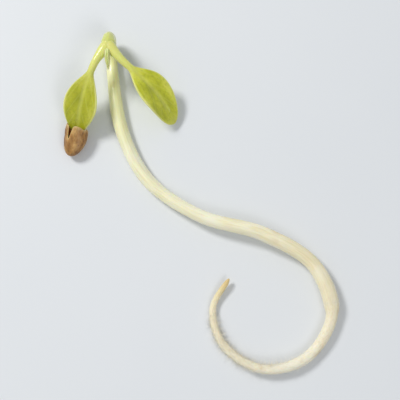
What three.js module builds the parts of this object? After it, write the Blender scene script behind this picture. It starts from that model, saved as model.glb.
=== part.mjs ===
// Alfalfa sprout: one seedling, about six days old, lying on its side as picked.
// Millimetres, +Z up. The origin is under the middle of the sprout, on the surface it rests on.
//
// The root and the stem follow one winding route. Near its top the stem turns back over itself in a
// hook, and the two seed leaves hang from the end of that hook, one on either side of the stem. The
// folded first leaf stands between their stalks, and the empty seed coat still grips one leaf's tip.
import * as THREE from "three";

// Driving sizes, in millimetres.
const ROOT_LENGTH = 14;
const ROOT_TOP_RADIUS = 0.38;
const ROOT_TIP_RADIUS = 0.13;
const COLLAR_RADIUS = 0.48; // the slight swelling where the stem meets the root
const STEM_RADIUS = 0.43;
const NECK_RADIUS = 0.35; // the stem in its hook, under the leaves
const APEX_RADIUS = 0.41; // the stem's end, where the stalks and the bud sit
const STALK_RADIUS = 0.23;
const STALK_SHARE = 0.22; // how much of a seed leaf's length is its stalk
const LEAF_HALF_WIDTH = 1.1;
const LEAF_HALF_THICKNESS = 0.19;
const LEAF_CUP = 0.24; // how far the leaf's edges stand above its midrib
const BUD_HALF_WIDTH = 0.29;
const BUD_HALF_THICKNESS = 0.17;
const COAT_HALF_WIDTH = 0.76;
const COAT_HALF_THICKNESS = 0.58;
const COAT_WALL = 0.08;
const ORGAN_GAP = 0.06; // clearance between the stem's foot and the root

// Centre line from the root's tip to the end of the hook: across, along, and how far the underside
// is lifted off the surface.
const PLANT_ROUTE = [
  [1.8, -4.8, 0.3],
  [0.8, -6.6, 0.0],
  [1.4, -8.8, 0.0],
  [3.8, -10.3, 0.2],
  [6.5, -9.6, 0.0],
  [8.08, -7.0, 0.06],
  [7.0, -4.0, 0.25],
  [3.9, -2.1, 0.5],
  [0.1, -1.0, 0.35],
  [-3.2, 1.3, 0.0],
  [-4.9, 4.5, 0.0],
  [-5.5, 7.9, 0.0],
  [-5.62, 9.3, 0.1],
  [-5.65, 10.24, 0.65],
  [-5.68, 10.1, 1.5],
  [-5.7, 9.3, 1.95],
];

// Midribs, from the stalk's foot to the leaf's tip: across, along, height.
const LEFT_LEAF_ROUTE = [
  [-5.95, 9.17, 2.4],
  [-6.45, 8.4, 2.42],
  [-6.97, 7.15, 2.14],
  [-7.41, 5.7, 1.42],
  [-7.73, 4.2, 0.56],
];
const RIGHT_LEAF_ROUTE = [
  [-5.43, 9.17, 2.4],
  [-4.8, 8.5, 2.44],
  [-3.75, 7.55, 2.14],
  [-2.5, 6.3, 1.3],
  [-1.65, 4.95, 0.36],
];
const BUD_ROUTE = [
  [-5.7, 9.17, 2.62],
  [-5.69, 8.7, 2.66],
  [-5.63, 7.85, 2.52],
];
// The seed coat's own line, from its open mouth to its closed end.
const COAT_ROUTE = [
  [-7.62, 4.84, 0.92],
  [-7.81, 3.9, 0.58],
  [-8.13, 2.85, 0.53],
];

const { clamp, lerp, smoothstep } = THREE.MathUtils;

/** A smooth route through points, each given as three numbers. */
function routeThrough(points) {
  return new THREE.CatmullRomCurve3(points.map((p) => new THREE.Vector3(...p)));
}

/** The part of a route between two shares of its length, at its own even pace. */
class Stretch extends THREE.Curve {
  constructor(route, from, to) {
    super();
    Object.assign(this, { route, from, to });
  }

  getPoint(t, target) {
    return this.route.getPointAt(lerp(this.from, this.to, t), target);
  }
}

/** How full a rounded end is: 0 at the end itself, 1 from its depth inwards. */
function roundedEnd(distance, depth) {
  const share = Math.min(distance / depth, 1);
  return Math.sqrt(share * (2 - share));
}

/** A straight round body along Y, closed at both ends, with its half-width at each share of its
 *  length. Three close rings round off each end to the depth given for it. */
function turnedBody(length, rings, sides, depths, halfWidthAt) {
  const [first, last] = depths.map((depth) => depth / length);
  const middle = Array.from({ length: rings }, (_, i) => lerp(first, 1 - last, i / (rings - 1)));
  const steps = [0.06, 0.3, 0.65];
  const start = steps.map((step) => step * first);
  const end = steps.map((step) => 1 - step * last).reverse();
  const profile = [...start, ...middle, ...end].map((share) => {
    const fullness = roundedEnd(share, first) * roundedEnd(1 - share, last);
    return new THREE.Vector2(fullness * halfWidthAt(share), share * length);
  });
  return new THREE.LatheGeometry([new THREE.Vector2(0, 0), ...profile, new THREE.Vector2(0, length)], sides);
}

/** Bends a straight body that stands along Y so that it follows a route. frameAt(share) gives the
 *  directions that the body's X and Z take there. */
function bendAlong(geometry, route, frameAt) {
  const length = route.getLength();
  const place = geometry.getAttribute("position");
  const from = new THREE.Vector3();
  for (let i = 0; i < place.count; i++) {
    from.fromBufferAttribute(place, i);
    const share = clamp(from.y / length, 0, 1);
    const { side, up } = frameAt(share);
    const to = route.getPointAt(share).addScaledVector(side, from.x).addScaledVector(up, from.z);
    place.setXYZ(i, to.x, to.y, to.z);
  }
  geometry.computeVertexNormals();
  return geometry;
}

/** Directions that turn as little as possible along a route, for a round body. */
function quietFrames(route) {
  const steps = 400;
  const { normals, binormals } = route.computeFrenetFrames(steps, false);
  return (share) => {
    const i = Math.round(share * steps);
    return { side: binormals[i], up: normals[i] };
  };
}

/** Directions for a flat body: side is level, then both are rolled about the route by rollAt(share). */
function levelFrames(route, rollAt) {
  const vertical = new THREE.Vector3(0, 0, 1);
  return (share) => {
    const along = route.getTangentAt(share);
    const side = new THREE.Vector3().crossVectors(along, vertical).normalize();
    const up = new THREE.Vector3().crossVectors(side, along);
    side.applyAxisAngle(along, rollAt(share));
    up.applyAxisAngle(along, rollAt(share));
    return { side, up };
  };
}

function named(name, geometry, color, roughness) {
  const mesh = new THREE.Mesh(geometry, new THREE.MeshStandardMaterial({ color, roughness }));
  mesh.name = name;
  return mesh;
}

// Root and stem ------------------------------------------------------------------------------------

const collarShare = ROOT_LENGTH / routeThrough(PLANT_ROUTE).getLength();

/** The plant's radius at a share of the way from the root's tip to the leaves. */
function plantRadius(share) {
  if (share < collarShare) {
    const up = share / collarShare;
    const root = lerp(ROOT_TIP_RADIUS, ROOT_TOP_RADIUS, up ** 0.7);
    return lerp(root, COLLAR_RADIUS, smoothstep(up, 0.94, 1));
  }
  const up = (share - collarShare) / (1 - collarShare);
  const foot = lerp(COLLAR_RADIUS, STEM_RADIUS, smoothstep(up, 0, 0.12));
  const neck = lerp(foot, NECK_RADIUS, smoothstep(up, 0.6, 0.92));
  return lerp(neck, APEX_RADIUS, smoothstep(up, 0.965, 1));
}

// The route gives the lift of the plant's underside, so its centre line runs a radius higher.
const centreLine = routeThrough(
  PLANT_ROUTE.map(([x, y, lift], i) => [x, y, lift + plantRadius(i / (PLANT_ROUTE.length - 1))]),
);

/** One stretch of the plant, between two shares of its length. */
function plantPiece(from, to, rings, sides, depths) {
  const route = new Stretch(centreLine, from, to);
  const radiusAt = (share) => plantRadius(lerp(from, to, share));
  const straight = turnedBody(route.getLength(), rings, sides, depths, radiusAt);
  return bendAlong(straight, route, quietFrames(route));
}

const gapShare = ORGAN_GAP / centreLine.getLength() / 2;
const rootBody = plantPiece(0, collarShare - gapShare, 44, 10, [0.3, 0.1]);
const stemBody = plantPiece(collarShare + gapShare, 1, 66, 14, [0.1, 0.15]);
const root = named("root", rootBody, 0xe9dfc4, 0.6);
const stem = named("stem", stemBody, 0xe6e2b4, 0.4);

// Seed leaves --------------------------------------------------------------------------------------

/** A seed leaf: a round stalk that widens into a thick, slightly cupped oval blade. roll turns the
 *  blade about its midrib, and tipFullness is 0.5 for a round tip and above 1 for a pinched one. */
function seedLeaf(points, roll, tipFullness) {
  const route = routeThrough(points);
  const length = route.getLength();
  const stalkAt = (share) => STALK_RADIUS * (1 - smoothstep(share, 0.2, 0.55));
  const bladeAt = (share) => {
    const along = clamp((share - STALK_SHARE) / (1 - STALK_SHARE), 0, 0.999);
    return Math.sin(Math.PI * along) ** lerp(1.25, tipFullness, along);
  };
  const halfWidthAt = (share) =>
    Math.cbrt(stalkAt(share) ** 3 + (LEAF_HALF_WIDTH * bladeAt(share)) ** 3);
  const halfThicknessAt = (share) =>
    Math.cbrt(stalkAt(share) ** 3 + (LEAF_HALF_THICKNESS * Math.sqrt(bladeAt(share))) ** 3);

  const straight = turnedBody(length, 28, 16, [0.15, 0.25], halfWidthAt);
  const place = straight.getAttribute("position");
  for (let i = 0; i < place.count; i++) {
    const share = clamp(place.getY(i) / length, 0, 1);
    const flat = halfThicknessAt(share) / halfWidthAt(share);
    const across = place.getX(i) / LEAF_HALF_WIDTH;
    place.setZ(i, place.getZ(i) * flat + LEAF_CUP * across ** 2);
  }
  const rollAt = (share) => roll * smoothstep(share, 0.05, 0.45);
  return bendAlong(straight, route, levelFrames(route, rollAt));
}

const leftLeaf = named("left_seed_leaf", seedLeaf(LEFT_LEAF_ROUTE, 0.15, 1.35), 0x9aa53c, 0.45);
const rightLeaf = named("right_seed_leaf", seedLeaf(RIGHT_LEAF_ROUTE, -0.35, 0.5), 0xa5ad42, 0.45);

// First leaf ---------------------------------------------------------------------------------------

/** The first true leaf, still folded: a small almond standing on edge between the stalks. */
function firstLeaf() {
  const route = routeThrough(BUD_ROUTE);
  const halfWidthAt = (share) => BUD_HALF_WIDTH * Math.sin(Math.PI * clamp(share, 0, 1) ** 0.8) ** 0.8;
  const straight = turnedBody(route.getLength(), 10, 10, [0.1, 0.1], halfWidthAt);
  straight.scale(1, 1, BUD_HALF_THICKNESS / BUD_HALF_WIDTH);
  return bendAlong(straight, route, levelFrames(route, () => Math.PI / 2));
}

const bud = named("first_leaf_bud", firstLeaf(), 0xbcc46a, 0.6);

// Seed coat ----------------------------------------------------------------------------------------

/** The empty seed coat: a thin shell, closed at its far end and open where the leaf comes out. */
function seedCoat() {
  const route = routeThrough(COAT_ROUTE);
  const length = route.getLength();
  const stations = 10;
  const outside = [];
  const inside = [];
  for (let i = 0; i <= stations; i++) {
    const share = Math.sin((i / stations) * (Math.PI / 2));
    const halfWidth = COAT_HALF_WIDTH * Math.sqrt(1 - (1.5 * share - 0.5) ** 2);
    outside.push(new THREE.Vector2(halfWidth, share * length));
    inside.push(new THREE.Vector2(Math.max(halfWidth - COAT_WALL, 0), share * (length - COAT_WALL)));
  }
  const shell = new THREE.LatheGeometry([...inside.reverse(), ...outside], 20);
  shell.scale(1, 1, COAT_HALF_THICKNESS / COAT_HALF_WIDTH);
  return bendAlong(shell, route, levelFrames(route, () => 0.15));
}

const coat = named("seed_coat", seedCoat(), 0x8a5a22, 0.5);

// The whole sprout, moved so that the origin is under its middle -------------------------------------

const sprout = new THREE.Group();
sprout.add(root, stem, leftLeaf, rightLeaf, bud, coat);
const extent = new THREE.Box3().setFromObject(sprout, true);
const middle = extent.getCenter(new THREE.Vector3());
sprout.position.set(-middle.x, -middle.y, -extent.min.z);

export default sprout;
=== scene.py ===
import math

import bpy
import numpy as np
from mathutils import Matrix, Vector


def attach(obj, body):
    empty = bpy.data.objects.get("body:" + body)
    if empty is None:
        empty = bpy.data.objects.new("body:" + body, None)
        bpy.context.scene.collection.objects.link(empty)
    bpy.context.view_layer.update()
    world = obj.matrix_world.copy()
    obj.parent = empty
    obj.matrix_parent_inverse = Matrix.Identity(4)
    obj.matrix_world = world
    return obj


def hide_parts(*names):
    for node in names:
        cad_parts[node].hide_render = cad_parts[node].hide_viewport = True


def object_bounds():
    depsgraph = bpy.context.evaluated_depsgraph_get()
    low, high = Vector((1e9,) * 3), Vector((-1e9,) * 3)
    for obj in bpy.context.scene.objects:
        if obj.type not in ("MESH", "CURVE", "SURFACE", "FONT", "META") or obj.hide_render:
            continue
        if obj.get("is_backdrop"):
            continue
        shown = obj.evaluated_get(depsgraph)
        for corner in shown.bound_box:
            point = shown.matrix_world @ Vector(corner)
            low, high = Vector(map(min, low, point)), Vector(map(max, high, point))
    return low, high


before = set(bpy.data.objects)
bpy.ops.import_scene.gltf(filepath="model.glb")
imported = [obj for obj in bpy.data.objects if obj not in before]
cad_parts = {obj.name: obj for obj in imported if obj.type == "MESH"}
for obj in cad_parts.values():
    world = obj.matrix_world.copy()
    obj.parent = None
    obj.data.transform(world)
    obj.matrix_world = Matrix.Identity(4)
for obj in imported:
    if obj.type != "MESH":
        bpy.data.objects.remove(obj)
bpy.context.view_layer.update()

# Lengths are in millimetres up to the point where a mesh is made, and in metres from there on.
MM = 0.001


# Stem --------------------------------------------------------------------------------------------
# The pale stem that lifted the seed leaves out of the soil: a smooth, juicy, slightly see-through
# tube with a waxy skin. It grows out of the root in one winding line and ends in a hook.

PLANT_ROUTE = [  # from the root's tip to the end of the hook: across, along, lift of the underside
    (1.8, -4.8, 0.3),
    (0.8, -6.6, 0.0),
    (1.4, -8.8, 0.0),
    (3.8, -10.3, 0.2),
    (6.5, -9.6, 0.0),
    (8.08, -7.0, 0.06),
    (7.0, -4.0, 0.25),
    (3.9, -2.1, 0.5),
    (0.1, -1.0, 0.35),
    (-3.2, 1.3, 0.0),
    (-4.9, 4.5, 0.0),
    (-5.5, 7.9, 0.0),
    (-5.62, 9.3, 0.1),
    (-5.65, 10.24, 0.65),
    (-5.68, 10.1, 1.5),
    (-5.7, 9.3, 1.95),
]
ROOT_LENGTH = 14.0
ROOT_TIP_RADIUS = 0.13
ROOT_TOP_RADIUS = 0.38
COLLAR_RADIUS = 0.48
STEM_RADIUS = 0.43
NECK_RADIUS = 0.35
APEX_RADIUS = 0.41
SEAM_OVERLAP = 0.3  # how far the root and the stem reach into each other
SEAM_TUCK = 0.12  # share of the radius that either loses on its way into the other
END_FULLNESS = 0.05  # share of the radius that is left at a rounded end's last ring
SURFACE_GAP = 0.004  # the skins stay this far above the surface
STEM_RINGS = 470
STEM_SIDES = 56
STEM_END_DEPTH = 0.55  # the rounding of the stem's end


def eased(value, low, high):
    """0 below low, 1 above high, and an S-shaped rise between them."""
    share = np.clip((value - low) / (high - low), 0, 1)
    return share * share * (3 - 2 * share)


def smooth_route(points, count=600):
    """Centripetal Catmull-Rom curve through given points: each span is a cubic whose pace
    goes with the square root of the distance between points. Gives its length and evenly spaced
    points."""
    p = np.array(points, float)
    p = np.vstack([2 * p[0] - p[1], p, 2 * p[-1] - p[-2]])
    pace = np.linalg.norm(np.diff(p, axis=0), axis=1)[:, None] ** 0.5
    before, here, after = pace[:-2], pace[1:-1], pace[2:]
    p0, p1, p2, p3 = p[:-3], p[1:-2], p[2:-1], p[3:]
    leave = ((p1 - p0) / before - (p2 - p0) / (before + here)) * here + p2 - p1
    arrive = ((p3 - p2) / after - (p3 - p1) / (here + after)) * here + p2 - p1
    t = np.linspace(0, 1, 40, endpoint=False)[:, None, None]
    spans = (
        p1 + leave * t + (3 * (p2 - p1) - 2 * leave - arrive) * t**2
        + (2 * (p1 - p2) + leave + arrive) * t**3
    )
    fine = np.vstack([spans.transpose(1, 0, 2).reshape(-1, 3), p[-2]])
    travelled = np.append(0, np.cumsum(np.linalg.norm(np.diff(fine, axis=0), axis=1)))
    even = np.linspace(0, travelled[-1], count)
    return travelled[-1], np.column_stack([np.interp(even, travelled, axis) for axis in fine.T])


def unit(vectors):
    """Vectors brought to length 1."""
    return vectors / np.linalg.norm(vectors, axis=-1, keepdims=True)


def quiet_frames(path):
    """Side and up directions along a path that turn as little as possible: each side is the one
    before it, less its part along the new tangent."""
    tangents = unit(np.gradient(path, axis=0))
    sides = np.empty_like(path)
    sides[0] = unit(np.cross(tangents[0], (0, 0, 1)))
    for i in range(1, len(path)):
        sides[i] = unit(sides[i - 1] - tangents[i] * (sides[i - 1] @ tangents[i]))
    return sides, np.cross(sides, tangents)


def plant_radius(share):
    """Radius at a share of the way from the root's tip to the leaves: the root thickens by a power
    law, swells at the collar, and the stem thins to its neck and widens again under the leaves."""
    root_share = np.clip(share / COLLAR_SHARE, 0, 1)
    root_radius = ROOT_TIP_RADIUS + (ROOT_TOP_RADIUS - ROOT_TIP_RADIUS) * root_share**0.7
    root_radius += (COLLAR_RADIUS - root_radius) * eased(root_share, 0.94, 1)
    up = (share - COLLAR_SHARE) / (1 - COLLAR_SHARE)
    stem_radius = COLLAR_RADIUS + (STEM_RADIUS - COLLAR_RADIUS) * eased(up, 0, 0.12)
    stem_radius += (NECK_RADIUS - stem_radius) * eased(up, 0.6, 0.92)
    stem_radius += (APEX_RADIUS - stem_radius) * eased(up, 0.965, 1)
    return np.where(share < COLLAR_SHARE, root_radius, stem_radius)


COLLAR_SHARE = ROOT_LENGTH / smooth_route(PLANT_ROUTE)[0]
lifted_route = np.array(PLANT_ROUTE)
lifted_route[:, 2] += plant_radius(np.linspace(0, 1, len(PLANT_ROUTE)))
PLANT_LENGTH, centre_line = smooth_route(lifted_route, 2400)
centre_sides, centre_ups = quiet_frames(centre_line)
COLLAR = COLLAR_SHARE * PLANT_LENGTH


def read_along(table, lengths):
    """Rows of a table that follows the centre line, read at lengths from the root's tip."""
    stations = np.linspace(0, PLANT_LENGTH, len(table))
    return np.column_stack([np.interp(lengths, stations, column) for column in table.T])


def slow_wave(x, seed):
    """A smooth irregular line of about unit height: five sines of random pace and start."""
    rng = np.random.default_rng(seed)
    pace = rng.uniform(0.25, 1.6, 5)
    start = rng.uniform(0, 2 * np.pi, 5)
    return np.sin(np.multiply.outer(x, pace) + start).sum(axis=-1) / 1.6


def relief(rng, rows, sides, along, around):
    """Random bumps on a grid, with a standard deviation of 1: white noise blurred over so many rows
    and sides."""
    slow = np.fft.fftfreq(rows)[:, None] * along
    quick = np.fft.rfftfreq(sides)[None] * around
    spectrum = np.fft.rfft2(rng.standard_normal((rows, sides)))
    bumps = np.fft.irfft2(spectrum * np.exp(-20 * (slow**2 + quick**2)), s=(rows, sides))
    return bumps / bumps.std()


def plant_skin(lengths, sides, fullness, bumps):
    """Rings of skin round the centre line: the plant's radius, a few percent more or less here and
    there, 3 % oval, with five faint ribs, and wider across than through where the leaf stalks
    leave."""
    turn = np.linspace(0, 2 * np.pi, sides, endpoint=False)
    length, turn = np.meshgrid(lengths, turn, indexing="ij")
    radius = plant_radius(lengths / PLANT_LENGTH) * (1 + 0.02 * slow_wave(lengths, 3))
    oval = 0.03 * np.cos(2 * turn - 0.35 * length)
    ribs = 0.02 * np.cos(5 * turn + 0.2 * length)
    middle = read_along(centre_line, lengths)[:, None]
    side = unit(read_along(centre_sides, lengths))[:, None]
    up = unit(read_along(centre_ups, lengths))[:, None]
    outward = side * np.cos(turn)[..., None] + up * np.sin(turn)[..., None]
    shoulders = 0.3 * eased(length, PLANT_LENGTH - 1.1, PLANT_LENGTH) * (outward[..., 0] ** 2 - 0.3)
    reach = (radius * fullness)[:, None] * (1 + oval + ribs + shoulders) + bumps
    rings = middle + outward * reach[..., None]
    rings[..., 2] = np.maximum(rings[..., 2], SURFACE_GAP)
    straight = np.stack([reach * np.cos(turn), reach * np.sin(turn), length], axis=-1)
    return rings, straight


def closed_skin(name, rings, material, node, slot, **facts):
    """A closed mesh over rows of rings, in millimetres: quads join each ring to the next, and a fan
    to its middle closes each end ring. facts are numbers or vectors kept at the points."""
    rows, sides, _ = rings.shape
    index = np.arange(rows * sides).reshape(rows, sides)
    beside = np.roll(index, -1, axis=1)
    quads = np.stack([index[:-1], index[1:], beside[1:], beside[:-1]], axis=-1).reshape(-1, 4)
    first, last = rows * sides, rows * sides + 1
    fans = [[first, a, b] for a, b in zip(index[0].tolist(), beside[0].tolist())]
    fans += [[last, b, a] for a, b in zip(index[-1].tolist(), beside[-1].tolist())]

    def with_middles(grid):
        flat = grid.reshape(rows * sides, -1)
        return np.vstack([flat, grid[[0, -1]].reshape(2, sides, -1).mean(axis=1)])

    mesh = bpy.data.meshes.new(name)
    mesh.from_pydata((with_middles(rings) * MM).tolist(), [], quads.tolist() + fans)
    for fact, grid in facts.items():
        kind, field = ("FLOAT", "value") if grid.ndim == 2 else ("FLOAT_VECTOR", "vector")
        kept = mesh.attributes.new(fact, kind, "POINT")
        kept.data.foreach_set(field, with_middles(grid).ravel())
    mesh.shade_smooth()
    mesh.materials.append(material)
    return placed(name, mesh, node)


def placed(name, mesh, node):
    """Puts a finished mesh in the scene, where it stands for its CAD node, if it has one."""
    piece = bpy.data.objects.new(name, mesh)
    bpy.context.collection.objects.link(piece)
    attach(piece, "root")
    if node:
        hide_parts(node)
    return piece


class Tone:
    """A shader socket used as a number: each sum or product of tones adds a Math node beside it."""

    def __init__(self, socket):
        self.socket = socket

    def node(self, kind, settings, inputs, output=0):
        """Adds a node, with its settings first and then its inputs' values or links, and gives the
        chosen output. A ramp's stops are (place, colour) pairs."""
        made = self.socket.id_data.nodes.new(kind)
        for key, value in settings.items():
            if key == "stops":
                for _ in value[2:]:
                    made.color_ramp.elements.new(0.5)
                for stop, (place, shade) in zip(made.color_ramp.elements, value):
                    stop.position = place
                    stop.color = shade
            else:
                setattr(made, key, value)
        for key, value in inputs.items():
            if isinstance(value, Tone):
                self.socket.id_data.links.new(value.socket, made.inputs[key])
            else:
                made.inputs[key].default_value = value
        return Tone(made.outputs[output])

    def math(self, operation, first, second):
        return self.node("ShaderNodeMath", {"operation": operation}, {0: first, 1: second})

    def __add__(self, other):
        return self.math("ADD", self, other)

    def __sub__(self, other):
        return self.math("SUBTRACT", self, other)

    def __rsub__(self, other):
        return self.math("SUBTRACT", other, self)

    def __mul__(self, other):
        return self.math("MULTIPLY", self, other)

    __radd__ = __add__
    __rmul__ = __mul__


def colour(red, green, blue):
    """A colour given as 0 to 255 screen values, as the linear numbers that a shader takes."""
    screen = np.array([red, green, blue]) / 255
    linear = np.where(screen <= 0.04045, screen / 12.92, ((screen + 0.055) / 1.055) ** 2.4)
    return (*linear.tolist(), 1.0)


def fact(tone, name, output="Fac"):
    """A number, or a vector, kept at the mesh's points."""
    return tone.node("ShaderNodeAttribute", {"attribute_name": name}, {}, output)


def rise(tone, low, high):
    """0 where tone is below low, 1 where it is above high, and an S-shaped rise between them."""
    inputs = {"Value": tone, "From Min": low, "From Max": high}
    return tone.node("ShaderNodeMapRange", {"interpolation_type": "SMOOTHSTEP"}, inputs)


def blended(share, first, second):
    """The first colour where share is 0, the second where it is 1."""
    return share.node("ShaderNodeMix", {"data_type": "RGBA"}, {0: share, 6: first, 7: second}, 2)


def cloudy(where, scale, stretch=(1, 1, 1), detail=3.0):
    """Noise from 0 to 1 with so many clouds a millimetre, drawn out along the axes by stretch."""
    squeeze = [scale / s for s in stretch]
    inputs = {0: where, 1: squeeze}
    squeezed = where.node("ShaderNodeVectorMath", {"operation": "MULTIPLY"}, inputs)
    inputs = {"Vector": squeezed, "Scale": 1.0, "Detail": detail}
    return where.node("ShaderNodeTexNoise", {}, inputs)


def bumped(height, depth):
    """A Normal that makes height, from 0 to 1, look so many millimetres deep."""
    return height.node("ShaderNodeBump", {}, {"Distance": depth * MM, "Height": height})


def finish(name, fixed, pattern):
    """A material: fixed numbers go straight on its shader's sockets, and pattern builds, from a
    tone of the same tree, those that change over the surface."""
    material = bpy.data.materials.new(name)
    material.use_nodes = True
    shader = material.node_tree.nodes["Principled BSDF"]
    for socket, value in fixed.items():
        shader.inputs[socket].default_value = value
    for socket, tone in pattern(Tone(shader.outputs[0])).items():
        material.node_tree.links.new(tone.socket, shader.inputs[socket])
    return material


STEM_FLESH = {
    "Subsurface Weight": 0.4,
    "Subsurface Radius": (1.0, 0.8, 0.4),
    "Subsurface Scale": 0.0003,
    "Coat Weight": 0.5,
    "Coat Roughness": 0.09,
    "IOR": 1.42,
}


def plant_pattern(start):
    """The skin of root and stem in one run, so that it doesn't change where they meet. The root is
    white with fine grains and tan flecks, amber at its tip; the stem is cream, drawn over
    lengthwise with cell rows, and turns yellow-green under the leaves."""
    skin = fact(start, "straight", "Vector")
    along = fact(start, "along_plant")
    in_stem = rise(along, COLLAR_SHARE - 0.03, COLLAR_SHARE + 0.05)
    ground = along.node("ShaderNodeValToRGB", {"stops": [
        (0.0, colour(216, 186, 122)),
        (0.02, colour(230, 212, 158)),
        (0.05, colour(243, 233, 202)),
        (0.22, colour(247, 241, 219)),
        (0.36, colour(243, 233, 202)),
        (0.42, colour(240, 229, 192)),
        (0.52, colour(245, 239, 208)),
        (0.75, colour(243, 240, 204)),
        (0.9, colour(230, 231, 166)),
        (1.0, colour(204, 212, 106)),
    ]}, {"Fac": along})
    rows = cloudy(skin, 9.0, (1, 1, 14), 4.0)
    grains = cloudy(skin, 14.0, (1, 1, 2.5), 3.0)
    clouds = cloudy(skin, 0.9, (1, 1, 2.5), 3.0)
    flecks = rise(cloudy(skin, 1.6, (1, 1, 2), 3.0), 0.58, 0.74) * (1 - in_stem)
    bruises = rise(cloudy(skin, 0.7, (1, 1, 1.6), 2.0), 0.64, 0.78)
    streaks = rise(rows, 0.4, 0.7) * 0.38 * in_stem
    streaked = blended(streaks, ground, colour(214, 202, 142))
    speckles = rise(grains, 0.45, 0.65) * 0.35 * (1 - in_stem)
    grained = blended(speckles, streaked, colour(224, 206, 162))
    clouded = blended(rise(clouds, 0.45, 0.7) * 0.45, grained, colour(254, 250, 230))
    marked = blended(bruises * 0.3 + flecks * 0.4, clouded, colour(206, 170, 116))
    return {
        "Base Color": marked,
        "Roughness": 0.48 + 0.12 * clouds - 0.2 * in_stem,
        "Normal": bumped(rows * in_stem + grains * (1 - in_stem), 0.03),
    }


stem_lengths = np.linspace(COLLAR - SEAM_OVERLAP, PLANT_LENGTH, STEM_RINGS)
stem_foot = 1 - SEAM_TUCK * (1 - eased(stem_lengths, COLLAR - SEAM_OVERLAP, COLLAR))
to_end = np.clip((PLANT_LENGTH - stem_lengths) / STEM_END_DEPTH, 0, 1)
stem_end = np.sqrt(to_end * (2 - to_end))
stem_end[-1] = END_FULLNESS
dimples = relief(np.random.default_rng(11), STEM_RINGS, STEM_SIDES, 40, 12) * 0.004
dimples *= eased(stem_lengths, COLLAR, COLLAR + 1)[:, None]
stem_rings, stem_straight = plant_skin(stem_lengths, STEM_SIDES, stem_foot * stem_end, dimples)
stem_material = finish("waxy_cream_stem", STEM_FLESH, plant_pattern)
closed_skin("pale_stem", stem_rings, stem_material, "stem", "stem_skin",
            straight=stem_straight, along_plant=stem_straight[..., 2] / PLANT_LENGTH)


# Root --------------------------------------------------------------------------------------------
# The first root: a tapering white strand with a matt, faintly grainy skin, which yellows towards
# its growing tip. It is the same line as the stem, carried on down past the collar.

ROOT_RINGS = 330
ROOT_SIDES = 44
ROOT_TIP_DEPTH = 0.5  # the rounding of the root's tip
ROOT_TOP = COLLAR + SEAM_OVERLAP
ROOT_FLESH = {
    "Subsurface Weight": 0.35,
    "Subsurface Radius": (1.0, 0.8, 0.5),
    "Subsurface Scale": 0.0002,
    "IOR": 1.4,
}

root_lengths = (ROOT_TOP - ROOT_TOP * np.linspace(0, 1, ROOT_RINGS) ** 0.92)[::-1]
root_top = 1 - SEAM_TUCK * eased(root_lengths, COLLAR, ROOT_TOP)
from_tip = np.clip(root_lengths / ROOT_TIP_DEPTH, 0, 1)
root_tip = np.sqrt(from_tip * (2 - from_tip))
root_tip[0] = END_FULLNESS
grit = relief(np.random.default_rng(12), ROOT_RINGS, ROOT_SIDES, 9, 9) * 0.006
grit *= (eased(root_lengths, 0.2, 1.5) * (1 - eased(root_lengths, COLLAR - 1.5, COLLAR)))[:, None]
root_rings, root_straight = plant_skin(root_lengths, ROOT_SIDES, root_top * root_tip, grit)
root_material = finish("grainy_white_root", ROOT_FLESH, plant_pattern)
closed_skin("young_root", root_rings, root_material, "root", "root_skin",
            straight=root_straight, along_plant=root_straight[..., 2] / PLANT_LENGTH)


# Root hairs --------------------------------------------------------------------------------------
# A felt of single-cell white hairs on the middle of the root, behind the growing tip. Each is one
# long cell, a fine thread that is widest at its foot.

HAIR_COUNT = 2600
HAIR_ZONE = (1.6, 10.5)  # where along the root, from its tip
HAIR_RADIUS = 0.009
HAIR_RINGS = 5
HAIR_SIDES = 3
HAIR_GAP = 0.003  # the hairs stay this far above the surface


def hair_pattern(start):
    """Clear white, a little creamier towards the foot of each hair."""
    out = fact(start, "out_hair")
    return {"Base Color": blended(out, colour(240, 232, 208), colour(255, 253, 246))}


def hair_rings(feet, outward, drift, lengths, radius):
    """Tapering threads: each leaves its foot along outward, bends towards drift by the square of
    the way along, and narrows to a quarter. Gives rings: hairs x rings x sides x 3."""
    way = np.linspace(0, 1, HAIR_RINGS)[None, :, None]
    reach = lengths[:, None, None]
    lines = feet[:, None] + outward[:, None] * way * reach + drift[:, None] * way**2 * reach
    across = unit(np.cross(outward, drift))[:, None]
    through = unit(np.cross(across, np.gradient(lines, axis=1)))
    turn = np.linspace(0, 2 * np.pi, HAIR_SIDES, endpoint=False)
    thick = radius * (1 - 0.75 * way[..., None])
    ring = across[:, :, None] * np.cos(turn)[:, None] + through[:, :, None] * np.sin(turn)[:, None]
    rings = lines[:, :, None] + ring * thick
    rings[..., 2] = np.maximum(rings[..., 2], HAIR_GAP)
    return rings


def thread_mesh(name, rings):
    """One mesh of many closed threads, with how far out each point is kept as out_hair."""
    count, rows, sides, _ = rings.shape
    index = np.arange(count * rows * sides).reshape(count, rows, sides)
    beside = np.roll(index, -1, axis=2)
    quads = np.stack([index[:, :-1], index[:, 1:], beside[:, 1:], beside[:, :-1]], axis=-1)
    ends = np.concatenate([index[:, 0], index[:, -1, ::-1]])
    mesh = bpy.data.meshes.new(name)
    mesh.from_pydata((rings.reshape(-1, 3) * MM).tolist(), [],
                     quads.reshape(-1, 4).tolist() + ends.tolist())
    out = np.broadcast_to(np.linspace(0, 1, rows)[None, :, None], (count, rows, sides))
    mesh.attributes.new("out_hair", "FLOAT", "POINT").data.foreach_set("value", out.ravel())
    mesh.shade_smooth()
    return mesh


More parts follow.
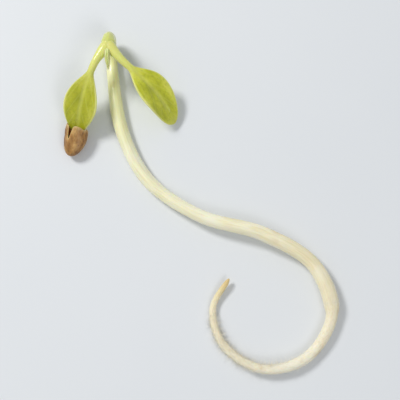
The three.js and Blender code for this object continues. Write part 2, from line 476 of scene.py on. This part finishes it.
rng = np.random.default_rng(21)
hair_at = rng.uniform(*HAIR_ZONE, HAIR_COUNT)
hair_turn = rng.uniform(0, 2 * np.pi, HAIR_COUNT)
hair_side = unit(read_along(centre_sides, hair_at))
hair_up = unit(read_along(centre_ups, hair_at))
hair_out = hair_side * np.cos(hair_turn)[:, None] + hair_up * np.sin(hair_turn)[:, None]
hair_foot = read_along(centre_line, hair_at)
hair_foot += hair_out * (plant_radius(hair_at / PLANT_LENGTH) * 0.9)[:, None]
hair_drift = rng.normal(0, 0.35, (HAIR_COUNT, 3)) - (0, 0, 0.1)
zone = eased(hair_at, HAIR_ZONE[0], 3.5) * (1 - 0.7 * eased(hair_at, 7.0, HAIR_ZONE[1]))
hair_length = (0.06 + 0.24 * zone) * rng.uniform(0.4, 1.2, HAIR_COUNT)
hair_tip = hair_foot + (hair_out + hair_drift) * hair_length[:, None]
short = hair_tip[:, 1] < hair_foot[:, 1].min()  # those past the outermost bend are worn down
hair_length[short] *= 0.4
hair_skin = hair_rings(hair_foot, hair_out, hair_drift, hair_length, HAIR_RADIUS)
hairs = thread_mesh("root_hairs", hair_skin)
hair_material = finish("clear_white_hair", {"Roughness": 0.45, "Sheen Weight": 0.3}, hair_pattern)
hairs.materials.append(hair_material)
placed("root_hairs", hairs, None)


# Seed leaves -------------------------------------------------------------------------------------
# The two fleshy leaves that were packed in the seed. Each is a round stalk that widens into a
# thick, slightly cupped oval blade, lime green with a paler midrib and a pale rim that is a painted
# highlight, smooth and faintly wet.

LEFT_LEAF = {
    "route": [
        (-5.95, 9.17, 2.4), (-6.45, 8.4, 2.42), (-6.97, 7.15, 2.14), (-7.41, 5.7, 1.42),
        (-7.8, 3.9, 0.5),  # deep enough in the husk for its mouth to grip both edges
    ],
    "roll": 0.15,
    "tip_fullness": 1.0,
    # painted shade: the left leaf's colour is darkened towards olive
    "deepness": 0.4,
    "seed": 31,
}
RIGHT_LEAF = {
    "route": [
        (-5.43, 9.17, 2.4), (-4.8, 8.5, 2.44), (-3.75, 7.55, 2.14), (-2.5, 6.3, 1.3),
        (-1.65, 4.95, 0.36),
    ],
    "roll": -0.35,
    "tip_fullness": 0.5,
    "deepness": 0.0,
    "seed": 32,
}
STALK_RADIUS = 0.23
STALK_SHARE = 0.22
STALK_FOOT = (-5.69, 9.5, 2.36)  # inside the stem's end, where both stalks start
LEAF_HALF_WIDTH = 1.1
LEAF_HALF_THICKNESS = 0.19
LEAF_CUP = 0.24
EDGE_WAVE = 0.05
GROOVE_HALF_WIDTH = 0.13
GROOVE_DEPTH = 0.06
RIB_HEIGHT = 0.04
VEIN_HEIGHT = 0.005
LEAF_UNEVENNESS = 0.012
LEAF_FLESH = {
    "Subsurface Weight": 0.3,
    "Subsurface Radius": (0.7, 1.0, 0.2),
    "Subsurface Scale": 0.00025,
    "Coat Weight": 0.45,
    "Coat Roughness": 0.12,
    "IOR": 1.42,
}


def hump(value, place, spread):
    """A bell curve: 1 where value is at place, falling to 0.37 at one spread away."""
    return np.exp(-(((value - place) / spread) ** 2))


def level_frames(path, roll):
    """Side and up directions along a path: side is level, then both turn about the path by roll."""
    tangents = unit(np.gradient(path, axis=0))
    sides = unit(np.cross(tangents, (0, 0, 1)))
    ups = np.cross(sides, tangents)
    c, s = np.cos(roll)[:, None], np.sin(roll)[:, None]
    return sides * c - ups * s, ups * c + sides * s


def leaf_rings(leaf, rows=190, sides=120):
    """A seed leaf's skin. Along it, a round stalk fades out and a sine-shaped blade takes over.
    Across it, the section is a flattened ring whose edges stand up, with a groove along the midrib
    above and a rib below it, and edges that wave gently."""
    rng = np.random.default_rng(leaf["seed"])
    free_length, _ = smooth_route(leaf["route"])
    length, path = smooth_route([STALK_FOOT, *leaf["route"]])
    pace = 1 - (1 - np.linspace(0, 1, rows)) ** 1.5
    path = np.column_stack([np.interp(pace, np.linspace(0, 1, len(path)), c) for c in path.T])
    share = 1 - (1 - pace) * length / free_length
    along = np.clip((share - STALK_SHARE) / (1 - STALK_SHARE), 0, 0.998)  # the tip keeps a width
    fullness = 1.25 + (leaf["tip_fullness"] - 1.25) * along
    blade = np.sin(np.pi * along) ** fullness
    foot = 1 + 0.65 * hump(share, -0.04, 0.125)
    stalk = STALK_RADIUS * foot * (1 - eased(share, 0.2, 0.55))
    half_width = np.cbrt(stalk**3 + (LEAF_HALF_WIDTH * blade) ** 3)
    half_thickness = np.cbrt(stalk**3 + (LEAF_HALF_THICKNESS * np.sqrt(blade)) ** 3)
    flat = eased(along, 0.02, 0.3)[:, None]

    turn = np.linspace(0, 2 * np.pi, sides, endpoint=False)[None]
    squareness = 1 - 0.3 * flat
    across = np.cos(turn) * half_width[:, None]
    height = np.sign(np.sin(turn)) * np.abs(np.sin(turn)) ** squareness * half_thickness[:, None]
    reach = across / LEAF_HALF_WIDTH
    edge = np.abs(np.cos(turn)) ** 3 * flat
    wave = np.sin(9 * along[:, None] + np.sign(reach) * 1.3 + leaf["seed"])
    groove = hump(across, 0, GROOVE_HALF_WIDTH) * flat * eased(1 - along[:, None], 0, 0.25)
    height = height + LEAF_CUP * reach**2 + EDGE_WAVE * wave * edge
    upper_side = np.sin(turn) > 0
    height -= groove * np.where(upper_side, GROOVE_DEPTH, RIB_HEIGHT)
    side_veins = np.cos(2 * np.pi * (4.2 * along[:, None] - 2.2 * np.abs(reach)))
    height += VEIN_HEIGHT * side_veins * flat * (1 - edge) * (np.abs(reach) > 0.1) * upper_side
    height += relief(rng, rows, sides, 22, 12) * LEAF_UNEVENNESS * flat
    roll = leaf["roll"] * eased(share, 0.05, 0.45)
    side, up = level_frames(path, roll)
    rings = path[:, None] + side[:, None] * across[..., None] + up[:, None] * height[..., None]
    rings[..., 2] = np.maximum(rings[..., 2], SURFACE_GAP)
    flat_place = np.stack(
        np.broadcast_arrays(across, share[:, None] * free_length, np.sin(turn) * 0.4), axis=-1)
    facts = {
        "flat_place": flat_place,
        "to_edge": np.broadcast_to(np.abs(np.cos(turn)), across.shape),
        "blade_along": np.broadcast_to(along[:, None], across.shape),
        "leaf_along": np.broadcast_to(share[:, None], across.shape),
        "deepness": np.full(across.shape, leaf["deepness"]),
    }
    return rings, facts


def leaf_pattern(start):
    """Lime green, clouded with olive, with painted shade that darkens the left leaf to a deeper
    olive, a broad pale yellow rim that is a painted highlight, a slightly paler midrib, and a fade
    to cream-yellow down the stalk, all over small pillow-shaped cells."""
    place = fact(start, "flat_place", "Vector")
    to_edge = fact(start, "to_edge")
    along = fact(start, "blade_along")
    whole = fact(start, "leaf_along")
    across = place.node("ShaderNodeSeparateXYZ", {}, {0: place}, 0)
    off_midrib = across.math("ABSOLUTE", across, 0.0)
    clouds = cloudy(place, 1.1, (1, 1.8, 1), 4.0)
    mottle = cloudy(place, 6.0, (1, 1.3, 1), 3.0)
    cells = place.node("ShaderNodeTexVoronoi", {}, {"Vector": place, "Scale": 13.0}, "Distance")
    ground = clouds.node("ShaderNodeValToRGB", {"stops": [
        (0.3, colour(162, 168, 28)),
        (0.5, colour(201, 204, 44)),
        (0.68, colour(223, 223, 86)),
    ]}, {"Fac": clouds})
    # painted shade: a leaf with a share above 0 is coloured darker olive all over
    painted_darker = blended(fact(start, "deepness"), ground, colour(140, 140, 24))
    mottled = blended(rise(mottle, 0.45, 0.75) * 0.35, painted_darker, colour(146, 150, 24))
    waves = across.math("SINE", 26.4 * along - 12.0 * off_midrib, 0.0)
    veins = rise(waves, 0.8, 1.0) * rise(off_midrib, 0.06, 0.25) * 0.14
    veined = blended(veins, mottled, colour(222, 226, 120))
    midrib = (1 - rise(off_midrib, 0.02, 0.2)) * (1 - rise(along, 0.6, 0.95)) * 0.4
    ribbed = blended(midrib, veined, colour(222, 224, 112))
    # painted highlight: a pale yellow band along both leaves' edges, as if they caught the light
    rimmed = blended(rise(to_edge, 0.84, 1.0) * 0.75, ribbed, colour(240, 238, 158))
    tipped = blended(rise(along, 0.84, 1.0) * 0.5, rimmed, colour(226, 220, 112))
    stalked = blended(1 - rise(whole, 0.14, 0.4), tipped, colour(222, 222, 124))
    return {
        "Base Color": stalked,
        "Roughness": 0.26 + 0.2 * mottle,
        "Normal": bumped(cells * 0.6 + mottle * 0.4, 0.025),
    }


leaf_material = finish("fleshy_lime_leaf", LEAF_FLESH, leaf_pattern)
for name, node, leaf in (
    ("seed_leaf_left", "left_seed_leaf", LEFT_LEAF),
    ("seed_leaf_right", "right_seed_leaf", RIGHT_LEAF),
):
    rings, facts = leaf_rings(leaf)
    closed_skin(name, rings, leaf_material, node, "seed_leaf", **facts)


# First leaf --------------------------------------------------------------------------------------
# The first true leaf, still folded shut between the stalks: a pale green almond with a slit along
# its upper edge, covered in short soft down.

BUD_ROUTE = [(-5.7, 9.3, 2.56), (-5.69, 8.7, 2.66), (-5.63, 7.85, 2.52)]
BUD_HALF_WIDTH = 0.29
BUD_HALF_THICKNESS = 0.17
BUD_RINGS = 60
BUD_SIDES = 48
DOWN_COUNT = 260
DOWN_RADIUS = 0.005
DOWN_ROWS = (10, 56)  # the bud's rings that bear down


def bud_rings():
    """An almond on edge: its half-width follows a skewed sine along it, and a slit runs along the
    top, where the folded blade's two edges meet."""
    length, path = smooth_route(BUD_ROUTE)
    pace = np.linspace(0, 1, BUD_RINGS)
    path = np.column_stack([np.interp(pace, np.linspace(0, 1, len(path)), c) for c in path.T])
    outline = np.maximum(np.sin(np.pi * np.clip(pace, 0.002, 0.998) ** 0.8), 0) ** 0.8
    turn = np.linspace(0, 2 * np.pi, BUD_SIDES, endpoint=False)[None]
    slit = 1 - 0.3 * hump(turn, np.pi / 2, 0.16)
    upright = BUD_HALF_WIDTH * outline[:, None] * np.sin(turn) * slit
    through = BUD_HALF_THICKNESS * outline[:, None] * np.cos(turn)
    side, up = level_frames(path, np.zeros(BUD_RINGS))
    rings = path[:, None] + side[:, None] * through[..., None] + up[:, None] * upright[..., None]
    place = np.stack(np.broadcast_arrays(through, upright, (pace * length)[:, None]), axis=-1)
    return rings, place


def bud_pattern(start):
    """Pale green, darker in patches, with fine ridges along the folded veins."""
    place = fact(start, "flat_place", "Vector")
    patches = cloudy(place, 4.0, (1, 1, 2), 3.0)
    ridges = cloudy(place, 22.0, (1, 1, 6), 2.0)
    ground = blended(rise(patches, 0.35, 0.7), colour(204, 212, 118), colour(232, 236, 166))
    return {
        "Base Color": ground,
        "Roughness": 0.5 + 0.2 * patches,
        "Normal": bumped(ridges, 0.02),
    }


bud_skin, bud_place = bud_rings()
bud_material = finish("downy_pale_bud", {"Subsurface Weight": 0.3, "Subsurface Scale": 0.0002},
                      bud_pattern)
closed_skin("folded_first_leaf", bud_skin, bud_material, "first_leaf_bud", "young_leaf",
            flat_place=bud_place)

rng = np.random.default_rng(51)
down_row = rng.integers(*DOWN_ROWS, DOWN_COUNT)
down_foot = bud_skin[down_row, rng.integers(0, BUD_SIDES, DOWN_COUNT)]
down_out = 0.6 * unit(down_foot - bud_skin[down_row].mean(axis=1))
down_drift = rng.normal(0, 0.2, (DOWN_COUNT, 3)) - (0, 0.9, 0.1)
down_length = rng.uniform(0.06, 0.13, DOWN_COUNT)
down_skin = hair_rings(down_foot, down_out, down_drift, down_length, DOWN_RADIUS)
down = thread_mesh("first_leaf_down", down_skin)
down.materials.append(hair_material)
placed("first_leaf_down", down, None)


# Seed husk ---------------------------------------------------------------------------------------
# The empty seed coat, still gripping the left seed leaf's tip: a thin tan shell, kidney-shaped,
# with a wrinkled skin, a darker scar on its hollow side and a torn, split mouth.

HUSK_ROUTE = [(-7.62, 4.84, 0.92), (-7.81, 3.9, 0.58), (-8.13, 2.85, 0.53)]
HUSK_HALF_WIDTH = 0.76
HUSK_HALF_THICKNESS = 0.58
HUSK_WALL = 0.05
HUSK_ROLL = 0.15


def husk_rings(rows=80, sides=120):
    """A shell in one piece: rings run from the closed end up the inner wall to the mouth, round its
    torn rim and back down the outer wall. Its width follows part of an ellipse, widest a third of
    the way down, the mouth's place goes up and down with the turn, one flap by the split leans out,
    and wrinkles move both walls together."""
    rng = np.random.default_rng(41)
    length, path = smooth_route(HUSK_ROUTE)
    turn = np.linspace(0, 2 * np.pi, sides, endpoint=False)[None]
    split = 0.42 * hump(turn, 1.2, 0.16) + 0.16 * hump(turn, 4, 0.7)
    torn = 0.02 * slow_wave(np.cos(turn) * 4, 42) + 0.014 * slow_wave(np.sin(turn) * 9, 43)
    mouth = np.clip(0.07 + split + torn, 0, 0.6)
    down = np.sin(np.linspace(0, 1, rows) * np.pi / 2)[:, None]
    share = mouth + (1 - mouth) * np.minimum(down, 0.9997)
    width = np.sqrt(1 - (1.5 * np.clip(share, 0, 0.9999) - 0.5) ** 2)
    wrinkle = relief(rng, rows, sides, 9, 7) * 0.02 * width
    notch = 0.2 * hump(turn, 0.1, 0.5) * hump(share, 0.6, 0.22)
    flap = 0.16 * hump(turn, 1.75, 0.42) * (1 - eased(share - mouth, 0, 0.4))
    outer = width * (1 - notch) + wrinkle + flap
    thinning = eased(share - mouth, -0.05, 0.12)
    inner = outer * (1 - HUSK_WALL / HUSK_HALF_WIDTH * thinning)
    inner_share = share - HUSK_WALL / length * (share - mouth) / (1 - mouth)
    radius = np.concatenate([inner[::-1], outer])
    place = np.concatenate([inner_share[::-1], share])
    stations = np.linspace(0, 1, len(path))
    sides_at, ups_at = level_frames(path, np.full(len(path), HUSK_ROLL))

    def read(table):
        return np.stack([np.interp(place, stations, column) for column in table.T], axis=-1)

    x = radius * np.cos(turn) * HUSK_HALF_WIDTH
    y = radius * np.sin(turn) * HUSK_HALF_THICKNESS
    rings = read(path) + read(sides_at) * x[..., None] + read(ups_at) * y[..., None]
    rings[..., 2] = np.maximum(rings[..., 2], SURFACE_GAP)
    scar = hump(turn, 0.1, 0.3) * hump(place, 0.6, 0.12)
    from_rim = np.concatenate([(share - mouth)[::-1], share - mouth])
    return rings, {
        "straight": np.stack([x, y, place * length], axis=-1),
        "scar": scar,
        "from_rim": from_rim,
    }


def husk_pattern(start):
    """Amber brown, mottled darker, almost black in the scar, and pale where the torn rim is
    thin."""
    place = fact(start, "straight", "Vector")
    scar = fact(start, "scar")
    from_rim = fact(start, "from_rim")
    patches = cloudy(place, 2.2, (1, 1, 1.5), 4.0)
    wrinkles = cloudy(place, 9.0, (1, 1, 2.2), 4.0)
    ground = patches.node("ShaderNodeValToRGB", {"stops": [
        (0.3, colour(116, 76, 32)),
        (0.5, colour(166, 120, 60)),
        (0.7, colour(206, 164, 98)),
    ]}, {"Fac": patches})
    lined = blended(rise(wrinkles, 0.5, 0.8) * 0.6, ground, colour(84, 48, 20))
    scarred = blended(scar * 0.8, lined, colour(52, 30, 16))
    rimmed = blended((1 - rise(from_rim, 0.0, 0.12)) * 0.6, scarred, colour(222, 190, 130))
    return {
        "Base Color": rimmed,
        "Roughness": 0.36 + 0.25 * patches,
        "Normal": bumped(wrinkles, 0.04),
    }


husk_skin, husk_facts = husk_rings()
husk_material = finish("wrinkled_amber_husk", {
    "Subsurface Weight": 0.2, "Subsurface Radius": (1.0, 0.5, 0.2), "Subsurface Scale": 0.0002,
    "Coat Weight": 0.2, "Coat Roughness": 0.25,
}, husk_pattern)
closed_skin("seed_husk", husk_skin, husk_material, "seed_coat", "seed_husk", **husk_facts)


# Studio ------------------------------------------------------------------------------------------
# A plain pale table top, a soft lamp above and to the left, a weaker one above and to the right,
# and the camera, which looks down on the sprout. Sizes are in metres.

low, high = (np.array(corner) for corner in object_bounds())
middle = (low + high) / 2
TABLE_REACH = 1.5
ROOM_LIGHT = 0.44
CAMERA_LENS = 100.0
CAMERA_TILT = 9.0  # degrees away from straight down
CAMERA_HEIGHT = 0.068


def floor_pattern(start):
    """Pale grey, with a barely visible unevenness."""
    where = start.node("ShaderNodeTexCoord", {}, {}, "Object")
    clouds = start.node("ShaderNodeTexNoise", {}, {"Vector": where, "Scale": 60.0, "Detail": 3.0})
    return {"Base Color": blended(clouds, colour(222, 225, 227), colour(228, 230, 231))}


floor_mesh = bpy.data.meshes.new("table_top")
corners = [(x * TABLE_REACH, y * TABLE_REACH, 0) for x, y in ((-1, -1), (1, -1), (1, 1), (-1, 1))]
floor_mesh.from_pydata(corners, [], [(0, 1, 2, 3)])
floor_mesh.materials.append(finish("pale_table", {"Roughness": 0.7}, floor_pattern))
floor = bpy.data.objects.new("table_top", floor_mesh)
bpy.context.collection.objects.link(floor)
floor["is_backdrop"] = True

world = bpy.data.worlds.new("soft_room")
bpy.context.scene.world = world
world.use_nodes = True
room = world.node_tree.nodes["Background"].inputs
room["Color"].default_value = (0.92, 0.95, 1.0, 1.0)
room["Strength"].default_value = ROOM_LIGHT


def lamp(name, place, size, power):
    """A square soft lamp that faces the sprout from a place given from the sprout's middle."""
    data = bpy.data.lights.new(name, "AREA")
    data.size = size
    data.energy = power
    made = bpy.data.objects.new(name, data)
    bpy.context.collection.objects.link(made)
    made.location = (middle + np.array(place)).tolist()
    made.rotation_euler = (-Vector(place)).to_track_quat("-Z", "Y").to_euler()


lamp("key_lamp", (-0.09, 0.07, 0.12), 0.04, 0.165)
lamp("fill_lamp", (0.055, -0.085, 0.12), 0.06, 0.045)

camera = bpy.data.objects.new("camera", bpy.data.cameras.new("camera"))
bpy.context.collection.objects.link(camera)
camera.data.lens = CAMERA_LENS
camera.data.clip_start = 0.001
camera.data.clip_end = 10.0
tilt = math.radians(CAMERA_TILT)
camera.location = (
    middle + CAMERA_HEIGHT * np.array([0, -math.sin(tilt), math.cos(tilt)])
).tolist()
camera.rotation_euler = (tilt, 0, 0)
bpy.context.scene.camera = camera
bpy.context.scene.view_settings.view_transform = "Standard"
